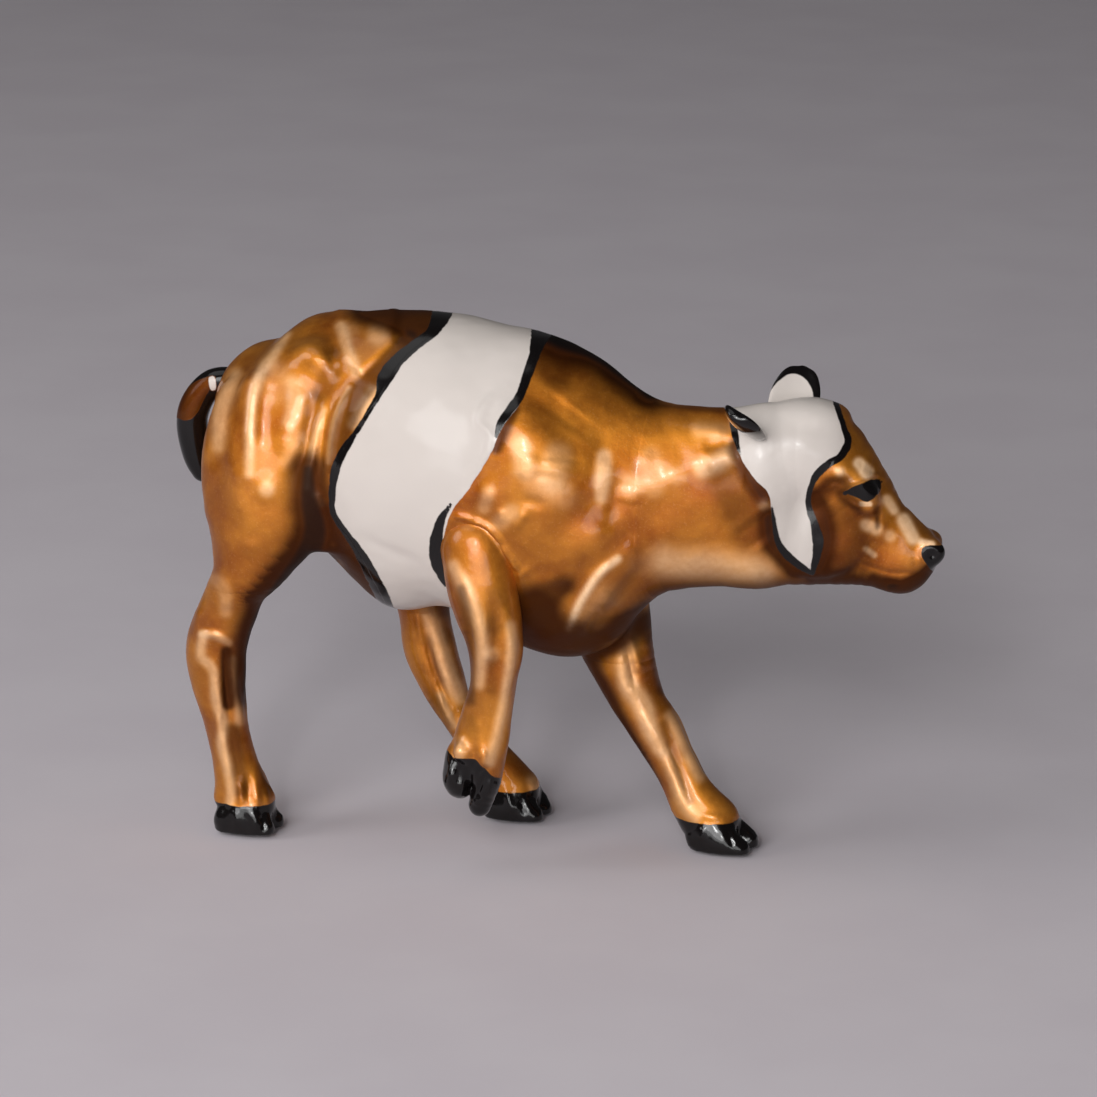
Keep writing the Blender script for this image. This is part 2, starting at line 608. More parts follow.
# Dark glazes: rows of x, y and width, then how far they fade out in pixels, then their strength
BODY_GLAZE = [
    ([(366, 308, 10), (395, 312, 22), (430, 322, 36)], 24, 0.9),
    ([(410, 338, 6), (390, 356, 8), (374, 376, 12), (352, 404, 16), (340, 436, 14), (333, 470, 6)], 9, 0.62),
    ([(546, 322, 24), (575, 335, 26), (602, 350, 18), (628, 374, 8), (650, 392, 4)], 32, 0.97),
    ([(545, 345, 20), (556, 375, 10)], 30, 0.55),
    ([(332, 528, 8), (352, 556, 12), (371, 588, 12)], 12, 0.6),
    ([(300, 512, 4), (312, 538, 16), (318, 552, 8)], 24, 0.6),
    ([(334, 356, 8), (330, 376, 12), (322, 392, 10)], 12, 0.42), ([(312, 398, 6), (304, 440, 6)], 10, 0.3),
    ([(527, 606, 10), (545, 628, 18), (564, 643, 16)], 34, 0.72), ([(545, 598, 10), (562, 586, 8)], 18, 0.5),
    ([(512, 410, 4), (502, 432, 4), (496, 448, 2)], 12, 0.8),
]
HEAD_GLAZE = [
    ([(640, 398, 3), (690, 406, 3), (735, 409, 3)], 8, 0.4),
    ([(736, 446, 2), (749, 473, 4), (763, 494, 5)], 14, 0.85),
    ([(722, 478, 16), (744, 508, 26), (752, 532, 16)], 30, 0.5),
    ([(771, 520, 8), (778, 544, 14), (795, 562, 10)], 15, 0.88),
    ([(816, 496, 3), (822, 520, 8), (824, 546, 9), (817, 568, 6)], 15, 0.86),
    ([(846, 520, 12), (852, 556, 24), (838, 574, 16)], 30, 0.45),
    ([(846, 481, 4), (828, 486, 6)], 12, 0.65), ([(843, 496, 4), (858, 506, 2)], 9, 0.6),
    ([(877, 508, 2), (879, 526, 1)], 6, 0.5),
    ([(930, 572, 5), (918, 581, 7), (904, 587, 5), (890, 588, 4)], 12, 0.9),
    ([(892, 583, 3), (874, 578, 2)], 9, 0.5),
]

# Pale pearl rubbed over what stands out, given as the glazes are
BODY_GLOW = [
    ([(236, 374, 2), (228, 392, 5), (221, 412, 6), (219, 432, 5), (218, 447, 2)], 13, 0.6),
    ([(287, 334, 1), (273, 355, 3), (262, 370, 4), (254, 392, 3), (251, 412, 2), (250, 440, 2),
      (249, 474, 1)], 9, 0.68),
    ([(294, 384, 5), (296, 400, 7), (291, 422, 5)], 12, 0.59), ([(267, 489, 7)], 10, 0.68),
    ([(279, 372, 8), (275, 394, 8)], 17, 0.34), ([(300, 440, 3), (286, 462, 4)], 12, 0.34),
    ([(324, 410, 1), (314, 440, 2), (308, 473, 2), (307, 488, 1)], 6, 0.68),
    ([(349, 389, 1), (334, 423, 2), (329, 462, 1)], 6, 0.59), ([(316, 495, 3), (321, 504, 3)], 6, 0.59),
    ([(341, 327, 5), (348, 350, 5), (356, 371, 5)], 9, 0.64), ([(378, 334, 12)], 13, 0.51),
    ([(352, 330, 6)], 12, 0.34),
    ([(372, 392, 6), (362, 410, 8), (353, 425, 4)], 8, 0.72),
    ([(521, 446, 8), (524, 468, 10)], 14, 0.55), ([(558, 456, 14), (552, 478, 14)], 17, 0.47),
    ([(604, 456, 6), (603, 478, 9), (601, 498, 4)], 10, 0.72), ([(564, 496, 12), (536, 486, 10)], 17, 0.34),
    ([(631, 486, 10)], 14, 0.51), ([(654, 488, 10), (651, 457, 10)], 13, 0.38), ([(676, 476, 8)], 13, 0.38),
    ([(618, 559, 2), (600, 573, 3), (587, 590, 3), (578, 606, 3), (569, 628, 1)], 7, 0.9),
    ([(606, 602, 10), (590, 618, 8)], 28, 0.35), ([(512, 512, 6), (500, 522, 6)], 12, 0.51),
    ([(489, 492, 4), (484, 508, 4)], 10, 0.51), ([(660, 552, 6), (640, 566, 8)], 17, 0.26),
]
HEAD_GLOW = [
    ([(700, 430, 6), (722, 431, 6)], 13, 0.42), ([(704, 469, 8), (718, 463, 9), (733, 452, 6)], 13, 0.7),
    ([(668, 566, 4), (716, 570, 12), (762, 575, 4)], 32, 0.7), ([(764, 505, 5)], 8, 0.6),
    ([(859, 463, 6), (867, 472, 8)], 7, 0.95), ([(840, 472, 4)], 7, 0.8),
    ([(861, 504, 2), (870, 504, 2)], 3, 1.0),
    ([(887, 500, 5), (894, 510, 4)], 7, 0.85), ([(904, 520, 8), (913, 538, 7)], 8, 0.85),
    ([(866, 525, 6), (876, 529, 6)], 8, 0.8), ([(890, 536, 5)], 8, 0.6),
    ([(922, 542, 3), (932, 544, 2)], 5, 0.9), ([(866, 549, 2), (874, 555, 2)], 5, 0.8),
]

# Modelling strokes: a line of x and y, then its width in pixels, then its height in millimetres
BODY_RELIEF = [
    ([(237, 371), (228, 392), (221, 412), (219, 432), (218, 450)], 20, 0.20),
    ([(285, 336), (273, 355), (262, 370), (254, 392), (251, 412), (250, 440), (249, 476)], 15, 0.24),
    ([(234, 402), (234, 440)], 14, -0.06), ([(268, 392), (266, 425), (270, 452)], 18, -0.12),
    ([(280, 374)], 26, 0.10), ([(266, 488)], 26, 0.26), ([(250, 547)], 14, 0.12),
    ([(295, 384), (297, 402), (292, 420), (284, 438)], 20, 0.17),
    ([(304, 396), (305, 416), (302, 440), (293, 460), (281, 472)], 12, 0.12),
    ([(317, 384), (313, 410), (308, 438), (300, 462), (294, 486), (292, 510)], 22, -0.36),
    ([(324, 408), (317, 426), (314, 442), (312, 457), (308, 473), (307, 488)], 10, 0.30),
    ([(330, 402), (325, 428), (321, 458), (318, 486)], 9, -0.12),
    ([(350, 387), (341, 404), (334, 423), (330, 441), (328, 462), (328, 486)], 10, 0.28),
    ([(315, 493), (322, 507)], 9, 0.22),
    ([(336, 321), (342, 338), (346, 352), (351, 366), (360, 373)], 12, 0.20),
    ([(330, 338), (333, 358), (341, 378)], 22, -0.30), ([(326, 360)], 7, 0.06), ([(327, 372)], 7, 0.06),
    ([(374, 390), (364, 408), (354, 426)], 22, 0.16),
    ([(358, 536), (385, 549), (417, 562)], 12, -0.12), ([(433, 468)], 50, 0.10),
    ([(508, 386), (486, 405), (480, 422), (490, 435), (485, 457), (469, 480)], 9, 0.22),
    ([(496, 396), (488, 420)], 10, -0.10),
    ([(529, 450), (527, 468), (522, 482)], 24, 0.16), ([(560, 458), (558, 478)], 40, 0.20),
    ([(606, 454), (604, 480), (600, 503)], 22, 0.14), ([(584, 446), (585, 476), (582, 505)], 26, 0.16),
    ([(618, 474), (616, 500), (613, 525)], 18, -0.09), ([(541, 450), (540, 486)], 18, -0.08),
    ([(630, 486), (627, 505)], 24, 0.15), ([(653, 486)], 26, 0.15), ([(651, 457)], 26, 0.12),
    ([(676, 476)], 22, 0.10), ([(566, 500)], 26, 0.12), ([(520, 500), (545, 505)], 12, -0.12),
    ([(487, 496)], 18, 0.22), ([(500, 508), (503, 524)], 11, 0.20), ([(526, 510), (513, 530)], 11, 0.22),
    ([(575, 405), (560, 425)], 60, -0.12), ([(640, 455), (690, 452)], 30, -0.10),
    ([(618, 558), (600, 573), (587, 590), (578, 606), (569, 628)], 9, 0.34),
    ([(604, 554), (585, 570), (568, 590), (555, 612)], 26, -0.30),
    ([(612, 592), (594, 610)], 30, 0.18), ([(585, 627)], 16, 0.12),
    ([(522, 575), (531, 567)], 6, 0.16), ([(528, 588), (552, 579), (573, 584)], 12, 0.08),
]

# The line of the grainy bead round the raised leg's top, and the outline of a flat place behind the belt
BEAD = [(448, 528), (453, 519), (461, 517), (473, 521), (486, 526), (495, 535), (505, 551), (514, 564),
        (520, 575),
        (522, 590)]
HIP_FACET = [(336, 321), (342, 338), (346, 353), (352, 368), (360, 375), (378, 361), (396, 345), (402, 300),
             (330, 300)]
HEAD_RELIEF = [
    ([(688, 428), (712, 430), (730, 434)], 14, 0.16), ([(704, 468), (718, 462), (736, 452)], 26, 0.24),
    ([(700, 448), (720, 446), (735, 442)], 12, -0.10), ([(670, 520), (722, 512)], 60, -0.10),
    ([(660, 566), (721, 569), (790, 575)], 38, 0.22), ([(766, 506)], 12, 0.14),
    ([(744, 520), (764, 548)], 30, -0.20),
    ([(884, 478), (872, 475), (856, 481), (842, 489)], 6, 0.14),
    ([(879, 503), (868, 510), (856, 506), (846, 498)], 6, 0.13),
    ([(860, 466), (872, 470)], 18, 0.16), ([(833, 474), (845, 471)], 10, 0.10),
    ([(824, 482), (836, 482), (847, 485)], 7, -0.06),
    ([(933, 556)], 12, -0.32), ([(920, 549), (926, 543), (940, 542)], 7, 0.15),
    ([(918, 556), (921, 566)], 6, 0.1),
    ([(930, 574), (915, 573), (892, 573), (870, 567), (846, 557)], 5, -0.08),
    ([(860, 547), (874, 555)], 8, 0.12), ([(830, 535)], 36, -0.2),
    ([(900, 506), (908, 524), (912, 542)], 22, 0.12),
    ([(878, 530)], 20, 0.10), ([(879, 510), (878, 534)], 5, -0.10), ([(884, 548)], 22, -0.05),
]

EYE_BULGE = ([(865, 492)], 26, 0.22)
LEG_RELIEF = {
    "right_hind_leg": [
        ([(217, 576), (226, 590), (226, 614)], 12, 0.14), ([(200, 634), (215, 635), (231, 643)], 8, 0.24),
        ([(203, 634), (201, 648), (200, 664)], 9, 0.20), ([(215, 652)], 18, -0.12),
        ([(210, 655), (216, 683), (220, 704), (219, 724), (224, 745), (226, 759), (229, 773), (230, 804)], 12,
         0.32),
        ([(232, 658), (235, 687), (238, 704), (241, 728)], 9, 0.24),
        ([(224, 640), (225, 663), (227, 700), (230, 722)], 9, -0.28),
        ([(255, 770), (258, 808)], 7, 0.16), ([(265, 784), (268, 808)], 6, 0.12),
        ([(240, 780), (241, 808)], 7, 0.14),
        ([(248, 776), (249, 804)], 7, -0.14), ([(200, 606), (193, 636)], 9, 0.10),
        ([(235, 808), (236, 828)], 7, 0.12), ([(246, 812), (248, 832)], 5, -0.12),
        ([(254, 810), (257, 830)], 7, 0.14),
        ([(268, 812), (270, 830)], 6, 0.10), ([(262, 814), (264, 832)], 5, -0.12),
    ],
    "left_hind_leg": [
        ([(429, 610), (437, 634), (444, 659), (452, 682), (461, 700)], 16, 0.26),
        ([(424, 630), (434, 668), (450, 705)], 8, -0.20), ([(416, 608), (422, 640)], 7, 0.14),
        ([(438, 692), (446, 712), (456, 730)], 7, 0.20), ([(530, 778), (540, 812)], 7, 0.14),
        ([(506, 790), (513, 814)], 7, 0.14), ([(521, 798), (525, 818)], 8, -0.16),
        ([(545, 788), (551, 806)], 7, 0.14),
    ],
    "left_foreleg": [
        ([(629, 632), (634, 652), (643, 676)], 10, 0.24), ([(621, 652), (624, 684), (638, 704)], 14, 0.22),
        ([(640, 706), (648, 724), (660, 750)], 14, 0.18),
        ([(662, 752), (674, 778), (682, 802), (694, 820)], 12, 0.24),
        ([(668, 708), (684, 742), (702, 780)], 11, 0.24), ([(627, 644), (634, 684)], 7, -0.18),
        ([(662, 724), (676, 762), (692, 804)], 11, -0.16), ([(700, 816), (722, 818)], 8, 0.10),
        ([(704, 826), (700, 842)], 7, 0.14), ([(748, 830), (756, 842)], 7, 0.12),
        ([(727, 828), (733, 848)], 6, -0.14),
        ([(686, 832), (692, 850)], 7, 0.10),
    ],
    "right_foreleg": [
        ([(452, 564), (463, 585), (473, 606), (480, 627), (483, 649), (481, 673), (476, 694)], 13, 0.26),
        ([(508, 612), (512, 641), (510, 668), (506, 690), (503, 711), (498, 733), (492, 760)], 11, 0.26),
        ([(494, 596), (496, 640), (494, 694)], 16, -0.16), ([(492, 656)], 11, 0.14),
        ([(467, 622), (475, 654)], 6, -0.16),
        ([(461, 740), (457, 756)], 8, 0.14), ([(484, 748), (483, 768)], 8, 0.14),
        ([(452, 760), (450, 782)], 7, 0.16), ([(460, 764), (458, 786)], 6, -0.16),
        ([(463, 780), (459, 800)], 7, 0.14),
        ([(480, 764), (470, 788)], 8, 0.18), ([(486, 768), (477, 796)], 5, -0.16),
        ([(492, 776), (487, 798)], 7, 0.16),
        ([(482, 798), (474, 806)], 7, 0.14),
    ],
}

# The legs' own glazes and pearl, and the dark stroke down the haunch that the torso has as well
HAUNCH_SHADE = ([(308, 470, 2), (309, 500, 8), (315, 530, 14), (307, 556, 15), (287, 584, 13), (267, 612, 11),
                 (255, 640, 7), (249, 690, 5)], 34, 0.95)
LEG_GLAZE = {
    "right_hind_leg": [HAUNCH_SHADE, ([(226, 652, 3), (228, 704, 4)], 8, 0.8),
                       ([(233, 730, 5), (241, 790, 6)], 11, 0.55),
                       ([(258, 730, 4), (268, 790, 5)], 9, 0.5)],
    "left_hind_leg": [([(420, 600, 8), (450, 604, 8)], 20, 0.5), ([(446, 610, 4), (450, 640, 4)], 11, 0.3),
                      ([(427, 640, 1), (438, 680, 3)], 10, 0.35), ([(440, 700, 6), (452, 720, 6)], 16, 0.4)],
    "left_foreleg": [([(596, 646, 12), (620, 636, 10), (646, 622, 6)], 24, 0.8),
                     ([(588, 672, 10), (600, 696, 14), (622, 738, 12), (648, 785, 8)], 17, 0.85),
                     ([(652, 640, 4), (662, 690, 3)], 9, 0.5), ([(664, 724, 2), (690, 800, 3)], 8, 0.4)],
    "right_foreleg": [([(462, 590, 1), (469, 640, 2), (470, 700, 1)], 12, 0.5),
                      ([(495, 598, 8), (494, 625, 8)], 16, 0.3),
                      ([(470, 720, 4), (474, 748, 4)], 10, 0.3), ([(493, 620, 1), (491, 690, 2)], 12, 0.3)],
}
LEG_GLOW = {
    "right_hind_leg": [
        ([(203, 636, 3), (201, 656, 3), (213, 670, 3), (216, 699, 4), (223, 722, 4), (222, 745, 4),
          (228, 768, 4),
          (231, 791, 3), (229, 806, 2)], 8, 0.59),
        ([(232, 660, 2), (235, 684, 3), (239, 704, 3), (239, 722, 2)], 8, 0.51),
        ([(216, 580, 5), (225, 592, 5), (226, 612, 3)], 10, 0.42),
        ([(202, 634, 2), (216, 636, 3), (229, 643, 2)], 6, 0.51),
    ],
    "left_hind_leg": [([(429, 612, 10), (437, 636, 10), (444, 660, 10), (453, 684, 10), (460, 698, 6)], 9,
                       0.51),
                      ([(440, 695, 2), (454, 726, 2)], 6, 0.51), ([(532, 780, 3), (540, 800, 3)], 9, 0.42)],
    "left_foreleg": [
        ([(630, 638, 6), (626, 660, 10), (628, 684, 10), (642, 704, 12), (650, 728, 8), (660, 748, 6)], 12,
         0.59),
        ([(671, 716, 4), (686, 748, 6), (700, 776, 4)], 10, 0.51),
        ([(666, 756, 4), (675, 778, 6), (684, 804, 6), (694, 818, 4)], 10, 0.51),
    ],
    "right_foreleg": [
        ([(453, 566, 4), (463, 585, 6), (473, 607, 6), (480, 628, 6), (482, 650, 6), (479, 684, 3)], 10,
         0.55),
        ([(511, 626, 3), (512, 650, 4), (507, 690, 4), (503, 712, 5), (497, 738, 4), (490, 762, 3)], 9, 0.55),
        ([(492, 654, 6)], 10, 0.42), ([(462, 742, 4), (458, 756, 3)], 9, 0.42),
    ],
}
STANDING = ("right_hind_leg", "left_hind_leg", "left_foreleg")
STUB_RELIEF, STUB_GLAZE, STUB_GLOW = (
    [row for node in STANDING for row in rows[node]] for rows in (LEG_RELIEF, LEG_GLAZE, LEG_GLOW))


def added(pixels, strokes):
    """The height that modelling strokes add, in millimetres."""
    height = np.zeros(len(pixels))
    for line, width, rise in strokes:
        height += rise * ridge(pixels, line, width)
    return height


def ridge(pixels, line, width):
    """A soft ridge along a line: 1 along its middle, lower at its two ends and 0 well away from it."""
    if len(line) > 2:
        curve = spline([(x, y, 0) for x, y in line], 4)[:, :2]
    else:
        curve = np.array([*line, line[-1]], float)
    close = near(pixels, curve)
    here = pixels[close]
    away = np.full(len(here), REACH)
    share = np.full(len(here), 0.5)
    run = np.concatenate([[0], np.cumsum(np.hypot(*np.diff(curve, axis=0).T))])
    for place, start, end in zip(run, curve[:-1], curve[1:]):
        axis = end - start
        t = np.clip((here - start) @ axis / max(axis @ axis, TINY), 0, 1)
        d = np.hypot(*(here - start - t[:, None] * axis).T)
        closer = d < away
        away[closer] = d[closer]
        if len(line) > 1:
            share[closer] = ((place + t * np.hypot(*axis)) / run[-1])[closer]
    height = np.zeros(len(pixels))
    fading = 0.3 + 0.7 * soft_step(0, 0.3, np.minimum(share, 1 - share))
    height[close] = np.exp(-(2 * away / width) ** 2) * fading
    return height


def unevenness(cast):
    """The soft dents of hand modelling, in millimetres: deeper on the shoulder."""
    shoulder = 1 - soft_step(0, 60, stroke_distance(cast.pixels, [(540, 470, 50), (640, 480, 60)]))
    return dents(cast.points, 2.6, 3.0) * (0.05 + 0.08 * shoulder) + dents(cast.points, 1.3, 9.0) * 0.03


def shaded(cast, strokes, crease):
    """The dark glaze, from 0 to 1: sprayed strokes, and a thinner brown in creases and on what looks down."""
    sprayed = washed(cast.pixels, strokes)
    under = 0.7 * soft_step(0.2, 0.9, -cast.normals[:, 2])
    return np.maximum(sprayed, np.minimum(sprayed + np.clip(crease * 1.5, 0, 0.6) + under, 0.84))


def beaded(cast):
    """The height of the grainy bead that runs round the top of the raised leg, in millimetres."""
    height = added(cast.pixels, [(BEAD, 6, 0.3)])
    on_bead = np.flatnonzero(height > 0.02)
    height[on_bead] *= 1 + 0.7 * dents(cast.points[on_bead], 0.5, 7.0)
    return height


def washed(pixels, strokes):
    """How far soft strokes cover each pixel, from 0 to 1."""
    clear = np.ones(len(pixels))
    for rows, fade, strength in strokes:
        clear *= 1 - strength * (1 - soft_step(0, fade, stroke_distance(pixels, rows)))
    return 1 - clear


def pearled(cover, crease):
    """The pale pearl, from 0 to 1: cover, and a little more on the ridges."""
    return np.clip(cover + np.clip(-crease * 1.5, 0, 0.5), 0, 1)


def dents(points, size, seed):
    """Soft unevenness of about this size in millimetres, between -1 and 1."""
    return np.array([noise.noise(Vector(p)) for p in points / size + seed])


# How far outside a paint's edge a point counts as when it has none of it, in millimetres
UNPAINTED = 9.0


class Casting:
    """A casting's surface while it is modelled and painted."""

    def __init__(self, surface, cell, mirror, past=None):
        self.points, self.normals, self.quads = surface
        self.cell = cell
        self.beyond = past(self.points) if past else np.full(len(self.points), -FAR)
        self.centre, self.across = (np.array(part, float) for part in mirror)
        self.place()

    def place(self):
        """Finds where each point shows on the picture, with the far side mirrored on to the near one."""
        beyond = np.maximum((self.points - self.centre) @ self.across, 0)[:, None]
        turned_away = (beyond > 0) * (self.normals @ self.across)[:, None]
        self.pixels = on_picture(self.points - 2 * beyond * self.across)
        self.nearness = 1 - 0.6 * soft_step(0.0, 2.0, beyond[:, 0])
        self.facing = facing(self.normals - 2 * turned_away * self.across)

    def raise_by(self, height):
        self.points = self.points + height[:, None] * self.normals

    def relax(self, rounds, share):
        """Smooths the surface: fully where share is 1 and not at all where it is 0."""
        even = np.stack([self.smoothed(self.points[:, k], rounds) for k in range(3)], 1)
        self.points = self.points + share[:, None] * (even - self.points)

    def smoothed(self, values, rounds):
        """values averaged with their neighbours along the quads' edges."""
        ends = np.concatenate([self.quads[:, [a, b]] for a, b in ((0, 1), (1, 2), (2, 3), (3, 0))])
        a, b = ends.T
        count = np.bincount(a, minlength=len(values)) + np.bincount(b, minlength=len(values))
        for _ in range(rounds):
            total = np.bincount(a, values[b], len(values)) + np.bincount(b, values[a], len(values))
            values = total / np.maximum(count, 1)
        return values

    def hollowness(self, rounds):
        """How hollow the surface is, in 1/mm: above 0 in creases and below 0 on ridges."""
        mean = np.stack([self.smoothed(self.points[:, k], 1) for k in range(3)], 1)
        bend = ((mean - self.points) * self.normals).sum(1) / self.cell ** 2
        return self.smoothed(bend * (self.beyond < -0.3), rounds)

    def finished(self, name, node, slot, material, **paint):
        """Makes the piece that stands for a node, with its paint as attributes."""
        mesh = bpy.data.meshes.new(name)
        places = (self.points + SHIFT) * MM
        mesh.vertices.add(len(places))
        mesh.vertices.foreach_set("co", places.astype(np.float32).ravel())
        mesh.loops.add(self.quads.size)
        mesh.loops.foreach_set("vertex_index", self.quads.astype(np.int32).ravel())
        mesh.polygons.add(len(self.quads))
        mesh.polygons.foreach_set("loop_start", np.arange(0, self.quads.size, 4, dtype=np.int32))
        mesh.update(calc_edges=True)
        mesh.validate()
        painted(mesh, **paint)
        mesh.shade_smooth()
        mesh.materials.append(material)
        piece = bpy.data.objects.new(name, mesh)
        bpy.context.scene.collection.objects.link(piece)
        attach(piece, "root")
        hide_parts(node)


def painted(mesh, **paint):
    """Gives a mesh its paint: distances outside the white and the black, and the cover of glaze and glow."""
    for name, bare in (("white", UNPAINTED), ("black", UNPAINTED), ("glaze", 0.0), ("glow", 0.0)):
        layer = mesh.attributes.new(name, "FLOAT", "POINT")
        values = paint.get(name, np.full(len(mesh.vertices), bare))
        layer.data.foreach_set("value", np.clip(values, -UNPAINTED, UNPAINTED).astype(np.float32))


# Materials
class Value:
    """A number on a node's socket, with Python's operators on it."""

    def __init__(self, tree, socket):
        self.tree, self.socket = tree, socket

    def joined(self, operation, *others):
        return self.tree.node("ShaderNodeMath", {"operation": operation}, dict(enumerate((self, *others))))

    def __add__(self, other):
        return self.joined("ADD", other)

    def __sub__(self, other):
        return self.joined("SUBTRACT", other)

    def __rsub__(self, other):
        return self.tree.node("ShaderNodeMath", {"operation": "SUBTRACT"}, {0: other, 1: self})

    def __mul__(self, other):
        return self.joined("MULTIPLY", other)

    __radd__ = __add__
    __rmul__ = __mul__

    def between(self, low, high):
        """0 below low and 1 above high, with a soft rise between."""
        return self.tree.node("ShaderNodeMapRange", {"interpolation_type": "SMOOTHSTEP", "clamp": True},
                              {0: self, 1: low, 2: high, 3: 0.0, 4: 1.0})


class Tree:
    """A material's node tree."""

    def __init__(self, name):
        self.material = bpy.data.materials.new(name)
        self.material.use_nodes = True
        self.nodes = self.material.node_tree.nodes
        self.links = self.material.node_tree.links
        self.shader = self.nodes["Principled BSDF"]

    def node(self, kind, settings=None, inputs=None, output=0):
        made = self.nodes.new(kind)
        for name, value in (settings or {}).items():
            setattr(made, name, value)
        for name, value in (inputs or {}).items():
            self.feed(made.inputs[name], value)
        return Value(self, made.outputs[output])

    def feed(self, socket, value):
        if isinstance(value, Value):
            self.links.new(value.socket, socket)
        elif socket.type == "RGBA":
            socket.default_value = (*value[:3], 1.0)
        else:
            socket.default_value = value

    def mix(self, factor, low, high):
        """Colour low where factor is 0 and high where it is 1."""
        return self.node("ShaderNodeMix", {"data_type": "RGBA"}, {0: factor, 6: low, 7: high}, output=2)

    def attribute(self, name):
        return self.node("ShaderNodeAttribute", {"attribute_name": name}, output=2)

    def grain(self, size, detail=2.0, roughness=0.5):
        """Noise whose grains are about this many millimetres across."""
        place = self.node("ShaderNodeTexCoord", output=3)
        return self.node("ShaderNodeTexNoise", None, {
            "Vector": place, "Scale": 1 / (size * MM), "Detail": detail, "Roughness": roughness,
        })

    def finish(self, **sockets):
        for name, value in sockets.items():
            self.feed(self.shader.inputs[name.replace("_", " ")], value)
        return self.material


def enamel_paint(settings):
    """Pearl copper under white and black enamel, all under a clear gloss."""
    tree = Tree("painted_casting")
    wobble = (tree.grain(0.9, 3.0) - 0.5) * 0.22
    white = 1 - (tree.attribute("white") + wobble).between(-0.05, 0.05)
    black = 1 - (tree.attribute("black") + wobble).between(-0.06, 0.06)
    glaze = tree.attribute("glaze")
    glow = tree.attribute("glow")
    cloud = tree.grain(3.2, 3.0, 0.55)
    speck = tree.grain(0.16, 1.0, 0.5)
    streak = tree.grain(0.6, 3.0, 0.6)
    broad = tree.grain(7.0, 1.0)
    clouded = broad.between(0.35, 0.65) * 0.24 + cloud.between(0.34, 0.70) * 0.22
    warm = clouded + streak.between(0.3, 0.8) * 0.1 + glow * 0.4
    copper = tree.mix(warm, tuple(settings.copper_deep), tuple(settings.copper_light))
    copper = tree.mix(glow * glow * (0.6 + streak * 0.7), copper, tuple(settings.pearl))
    copper = tree.mix(speck.between(0.58, 0.76) * 0.1, copper, tuple(settings.copper_fleck))
    brown = tree.mix(glaze.between(0.0, 0.85) * 0.94, copper, tuple(settings.glaze_brown))
    ground = tree.mix(glaze.between(0.86, 1.0), brown, tuple(settings.enamel_black))
    colour = tree.mix(white, ground, tuple(settings.enamel_white))
    colour = tree.mix(black, colour, tuple(settings.enamel_black))
    covered = (1 - white) * (1 - black)
    metal = covered * (1 - glaze.between(0.8, 1.0) * 0.8) * (1 - glow * glow * 0.6) * settings.copper_metal
    bare_rough = 0.56 + (cloud - 0.5) * 0.3 + (streak - 0.5) * 0.1
    rough = covered * bare_rough + white * (1 - black) * 0.38 + black * 0.1
    bump = tree.node("ShaderNodeBump", None, {
        "Strength": 0.35, "Distance": 0.00005,
        "Height": covered * (speck * 0.35 + streak * 1.2) + white * 1.4 + black * 1.8,
    })
    return tree.finish(Base_Color=colour, Metallic=metal, Roughness=rough, Normal=bump,
                       Specular_IOR_Level=0.12,
                       Coat_Weight=covered * (1 - glaze) * 0.6 + white * (1 - black) * 0.25 + black * 0.6,
                       Coat_Roughness=0.15)


def cut_wire():
    """Bright steel wire, as it is cut for pins."""
    tree = Tree("cut_steel_wire")
    lines = tree.grain(0.2, 2.0)
    colour = tree.mix(lines, (0.35, 0.36, 0.37), (0.55, 0.56, 0.57))
    return tree.finish(Base_Color=colour, Metallic=1.0, Roughness=lines * 0.2 + 0.25)


def stage_cloth(settings):
    """The plain pale floor, with a faint soft mottle."""
    tree = Tree("plain_floor")
    soft = tree.grain(18.0, 4.0)
    colour = tree.mix(soft.between(0.3, 0.7) * 0.25, tuple(settings.floor_colour), (0.74, 0.70, 0.73))
    return tree.finish(Base_Color=colour, Roughness=0.9)


class FigureSettings(bpy.types.PropertyGroup):
    fineness: FloatProperty(name="Fineness", description="Size of the surface's smallest faces on the torso",
                            default=0.25, min=0.1, max=1.0)
    relief: FloatProperty(name="Relief", description="Depth of the modelled muscles and folds", default=1.0,
                          min=0.0, max=2.0)
    copper_light: FloatVectorProperty(name="Light copper", description="Pearl copper where it is thick",
                                      subtype="COLOR", default=(0.84, 0.365, 0.040))
    copper_deep: FloatVectorProperty(name="Deep copper", description="Pearl copper where it is thin",
                                     subtype="COLOR", default=(0.35, 0.084, 0.005))
    copper_fleck: FloatVectorProperty(name="Fleck", description="The brightest pearl flecks", subtype="COLOR",
                                      default=(0.95, 0.55, 0.20))
    pearl: FloatVectorProperty(name="Pearl", description="Pale pearl rubbed over the raised parts",
                               subtype="COLOR",
                               default=(0.95, 0.62, 0.36))
    glaze_brown: FloatVectorProperty(name="Brown glaze", description="Thin dark glaze over the copper",
                                     subtype="COLOR", default=(0.055, 0.012, 0.002))
    enamel_black: FloatVectorProperty(name="Black enamel", description="Hooves, outlines, eyes and tail",
                                      subtype="COLOR", default=(0.004, 0.003, 0.003))
    enamel_white: FloatVectorProperty(name="White enamel", description="Belt, face patch and left ear",
                                      subtype="COLOR", default=(0.57, 0.515, 0.475))
    copper_metal: FloatProperty(name="Metal", description="How metallic the pearl copper is", default=0.9,
                                min=0.0, max=1.0)


